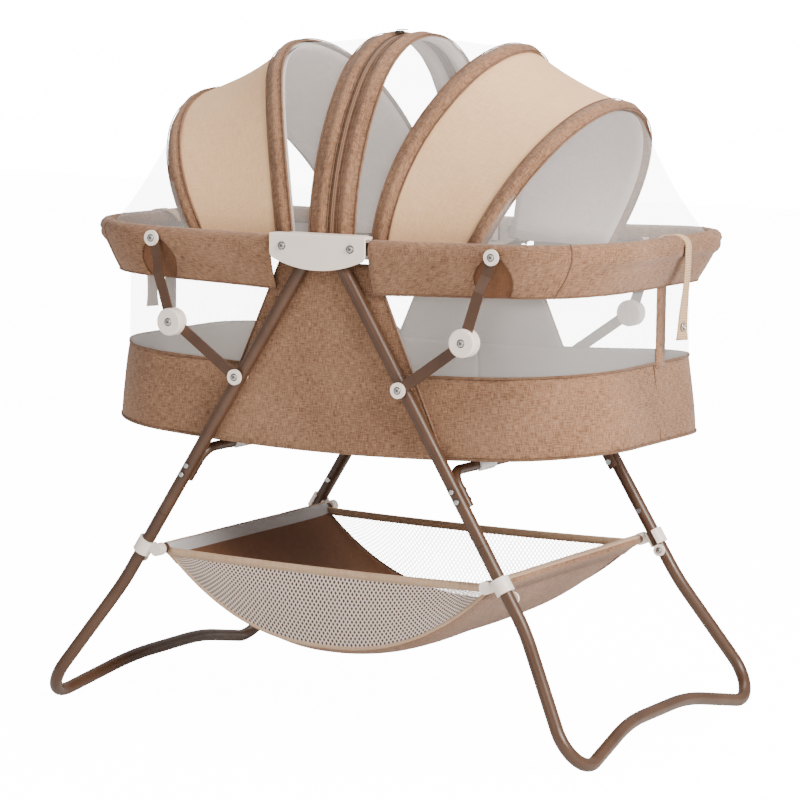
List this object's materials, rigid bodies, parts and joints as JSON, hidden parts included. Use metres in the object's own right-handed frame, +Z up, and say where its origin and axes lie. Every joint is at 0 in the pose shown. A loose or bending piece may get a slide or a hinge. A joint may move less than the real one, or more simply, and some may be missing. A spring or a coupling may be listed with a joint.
{
  "type": "folding bassinet on a stand",
  "caption": "Folding bassinet on four splayed tube legs, fabric tub with mesh windows, canopy on six hoops and a storage basket underneath.",
  "frame": {"origin": "on the floor, in the middle of the four feet", "axes": "+X along the length of the tub, -Y towards the front, the long side on which the zipper slider stops, +Z up"},
  "size_m": [0.7682, 0.5118, 0.8503],
  "materials": {
    "frame_bronze": "satin",
    "cream_plastic": "satin",
    "clear_plastic": "gloss",
    "steel": "satin",
    "hoop_rod": "satin",
    "brown_linen": "matte",
    "tan_canopy": "matte",
    "white_net": "matte",
    "tub_mesh": "matte",
    "basket_mesh": "matte",
    "tan_webbing": "matte",
    "pad_cover": "matte",
    "hardboard": "matte",
    "zipper_black": "satin"
  },
  "bodies": {
    "tub_and_brackets": {"apex_brackets": "cream_plastic", "bracket_hinge_pins": "steel", "centre_hoop_pins": "cream_plastic", "tub_fabric": "brown_linen", "tub_floor_board": "hardboard", "mattress_pad": "pad_cover", "basket_sling": "brown_linen", "basket_side_meshes": "basket_mesh", "left_mesh_window": "tub_mesh", "right_mesh_window": "tub_mesh"},
    "right_rim_half": {"right_rim_tube": "frame_bronze", "right_rim_pivots": "cream_plastic", "right_valance": "brown_linen", "right_canopy_shade": "tan_canopy", "right_canopy_net": "white_net", "right_pull_strap": "tan_webbing"},
    "right_leg_pair": {"right_front_upper_leg": "frame_bronze", "right_back_upper_leg": "frame_bronze", "right_foot_tube": "frame_bronze", "right_base_support": "frame_bronze", "right_support_rivets": "steel", "right_floor_clips": "clear_plastic", "right_leg_screws": "cream_plastic", "right_basket_collars": "cream_plastic", "right_basket_end_bar": "frame_bronze"},
    "right_upper_brace_pair": {"right_upper_braces": "frame_bronze", "right_outer_hub_covers": "cream_plastic"},
    "right_lower_brace_pair": {"right_lower_braces": "frame_bronze", "right_inner_hub_covers": "cream_plastic"},
    "right_centre_hoop_body": {"right_centre_hoop": "hoop_rod"},
    "right_inner_hoop_body": {"right_inner_hoop": "hoop_rod"},
    "right_end_hoop_body": {"right_end_hoop": "hoop_rod"},
    "right_front_button_body": {"right_front_snap_button": "steel"},
    "right_back_button_body": {"right_back_snap_button": "steel"},
    "left_rim_half": {"left_rim_tube": "frame_bronze", "left_rim_pivots": "cream_plastic", "left_valance": "brown_linen", "left_canopy_shade": "tan_canopy", "left_canopy_net": "white_net", "left_pull_strap": "tan_webbing"},
    "left_leg_pair": {"left_front_upper_leg": "frame_bronze", "left_back_upper_leg": "frame_bronze", "left_foot_tube": "frame_bronze", "left_base_support": "frame_bronze", "left_support_rivets": "steel", "left_floor_clips": "clear_plastic", "left_leg_screws": "cream_plastic", "left_basket_collars": "cream_plastic", "left_basket_end_bar": "frame_bronze"},
    "left_upper_brace_pair": {"left_upper_braces": "frame_bronze", "left_outer_hub_covers": "cream_plastic"},
    "left_lower_brace_pair": {"left_lower_braces": "frame_bronze", "left_inner_hub_covers": "cream_plastic"},
    "left_centre_hoop_body": {"left_centre_hoop": "hoop_rod", "zipper_slider": "zipper_black"},
    "left_inner_hoop_body": {"left_inner_hoop": "hoop_rod"},
    "left_end_hoop_body": {"left_end_hoop": "hoop_rod"},
    "left_front_button_body": {"left_front_snap_button": "steel"},
    "left_back_button_body": {"left_back_snap_button": "steel"},
    "zipper_pull_body": {"zipper_pull": "zipper_black"}
  },
  "joints": [
    {"name": "right_rim_fold", "type": "hinge", "parent": "tub_and_brackets", "child": "right_rim_half", "pos_m": [0.0479, 0, 0.592], "axis": [0, 1, 0], "range_deg": [0, 84], "deforming": ["right_valance", "right_canopy_shade", "right_canopy_net", "right_pull_strap", "tub_fabric", "tub_floor_board", "mattress_pad", "basket_sling", "basket_side_meshes", "left_mesh_window", "right_mesh_window"]},
    {"name": "right_leg_fold", "type": "hinge", "parent": "tub_and_brackets", "child": "right_leg_pair", "pos_m": [0.0213, 0, 0.578], "axis": [0, 1, 0], "range_deg": [0, 30.1]},
    {"name": "right_upper_brace_fold", "type": "hinge", "parent": "right_rim_half", "child": "right_upper_brace_pair", "pos_m": [0.2382, 0, 0.592], "axis": [0, 1, 0], "range_deg": [-99, 0]},
    {"name": "right_lower_brace_fold", "type": "hinge", "parent": "right_leg_pair", "child": "right_lower_brace_pair", "pos_m": [0.1152, 0, 0.4278], "axis": [0, 1, 0], "range_deg": [0, 76.6]},
    {"name": "right_canopy_fold", "type": "hinge", "parent": "tub_and_brackets", "child": "right_centre_hoop_body", "pos_m": [0.0165, 0, 0.592], "axis": [0, 1, 0], "range_deg": [0, 70], "deforming": ["right_canopy_shade", "right_canopy_net"]},
    {"name": "right_inner_hoop_fold", "type": "hinge", "parent": "right_rim_half", "child": "right_inner_hoop_body", "pos_m": [0.066, 0, 0.592], "axis": [0, 1, 0], "range_deg": [0, 55.1]},
    {"name": "right_end_hoop_fold", "type": "hinge", "parent": "right_rim_half", "child": "right_end_hoop_body", "pos_m": [0.193, 0, 0.592], "axis": [0, 1, 0], "range_deg": [0, 33.1]},
    {"name": "right_front_button_press", "type": "slide", "parent": "right_leg_pair", "child": "right_front_button_body", "axis": [0, -1, 0], "range_m": [0, 0.003], "stiffness_N_per_m": 900},
    {"name": "right_back_button_press", "type": "slide", "parent": "right_leg_pair", "child": "right_back_button_body", "axis": [0, 1, 0], "range_m": [0, 0.003], "stiffness_N_per_m": 900},
    {"name": "left_rim_fold", "type": "hinge", "parent": "tub_and_brackets", "child": "left_rim_half", "pos_m": [-0.0479, 0, 0.592], "axis": [0, 1, 0], "range_deg": [-84, 0], "deforming": ["left_valance", "left_canopy_shade", "left_canopy_net", "left_pull_strap"]},
    {"name": "left_leg_fold", "type": "hinge", "parent": "tub_and_brackets", "child": "left_leg_pair", "pos_m": [-0.0213, 0, 0.578], "axis": [0, 1, 0], "range_deg": [-30.1, 0]},
    {"name": "left_upper_brace_fold", "type": "hinge", "parent": "left_rim_half", "child": "left_upper_brace_pair", "pos_m": [-0.2382, 0, 0.592], "axis": [0, 1, 0], "range_deg": [0, 99]},
    {"name": "left_lower_brace_fold", "type": "hinge", "parent": "left_leg_pair", "child": "left_lower_brace_pair", "pos_m": [-0.1152, 0, 0.4278], "axis": [0, 1, 0], "range_deg": [-76.6, 0]},
    {"name": "left_canopy_fold", "type": "hinge", "parent": "tub_and_brackets", "child": "left_centre_hoop_body", "pos_m": [-0.0165, 0, 0.592], "axis": [0, 1, 0], "range_deg": [-70, 0], "deforming": ["left_canopy_shade", "left_canopy_net"]},
    {"name": "left_inner_hoop_fold", "type": "hinge", "parent": "left_rim_half", "child": "left_inner_hoop_body", "pos_m": [-0.066, 0, 0.592], "axis": [0, 1, 0], "range_deg": [-55.1, 0]},
    {"name": "left_end_hoop_fold", "type": "hinge", "parent": "left_rim_half", "child": "left_end_hoop_body", "pos_m": [-0.193, 0, 0.592], "axis": [0, 1, 0], "range_deg": [-33.1, 0]},
    {"name": "left_front_button_press", "type": "slide", "parent": "left_leg_pair", "child": "left_front_button_body", "axis": [0, -1, 0], "range_m": [0, 0.003], "stiffness_N_per_m": 900},
    {"name": "left_back_button_press", "type": "slide", "parent": "left_leg_pair", "child": "left_back_button_body", "axis": [0, 1, 0], "range_m": [0, 0.003], "stiffness_N_per_m": 900},
    {"name": "zipper_pull_flip", "type": "hinge", "parent": "left_centre_hoop_body", "child": "zipper_pull_body", "pos_m": [0, -0.0293, 0.8496], "axis": [1, 0, 0], "range_deg": [0, 160]}
  ],
  "couplings": [
    {"joint": "right_leg_fold", "follows": "right_rim_fold", "ratio": 0.3571},
    {"joint": "right_upper_brace_fold", "follows": "right_rim_fold", "ratio": -1.1774},
    {"joint": "right_lower_brace_fold", "follows": "right_rim_fold", "ratio": 0.9107},
    {"joint": "right_inner_hoop_fold", "follows": "right_canopy_fold", "ratio": 0.7857},
    {"joint": "right_end_hoop_fold", "follows": "right_canopy_fold", "ratio": 0.4714},
    {"joint": "left_leg_fold", "follows": "right_rim_fold", "ratio": -0.3571},
    {"joint": "left_upper_brace_fold", "follows": "right_rim_fold", "ratio": 1.1774},
    {"joint": "left_lower_brace_fold", "follows": "right_rim_fold", "ratio": -0.9107},
    {"joint": "left_rim_fold", "follows": "right_rim_fold", "ratio": -1},
    {"joint": "left_inner_hoop_fold", "follows": "left_canopy_fold", "ratio": 0.7857},
    {"joint": "left_end_hoop_fold", "follows": "left_canopy_fold", "ratio": 0.4714}
  ]
}
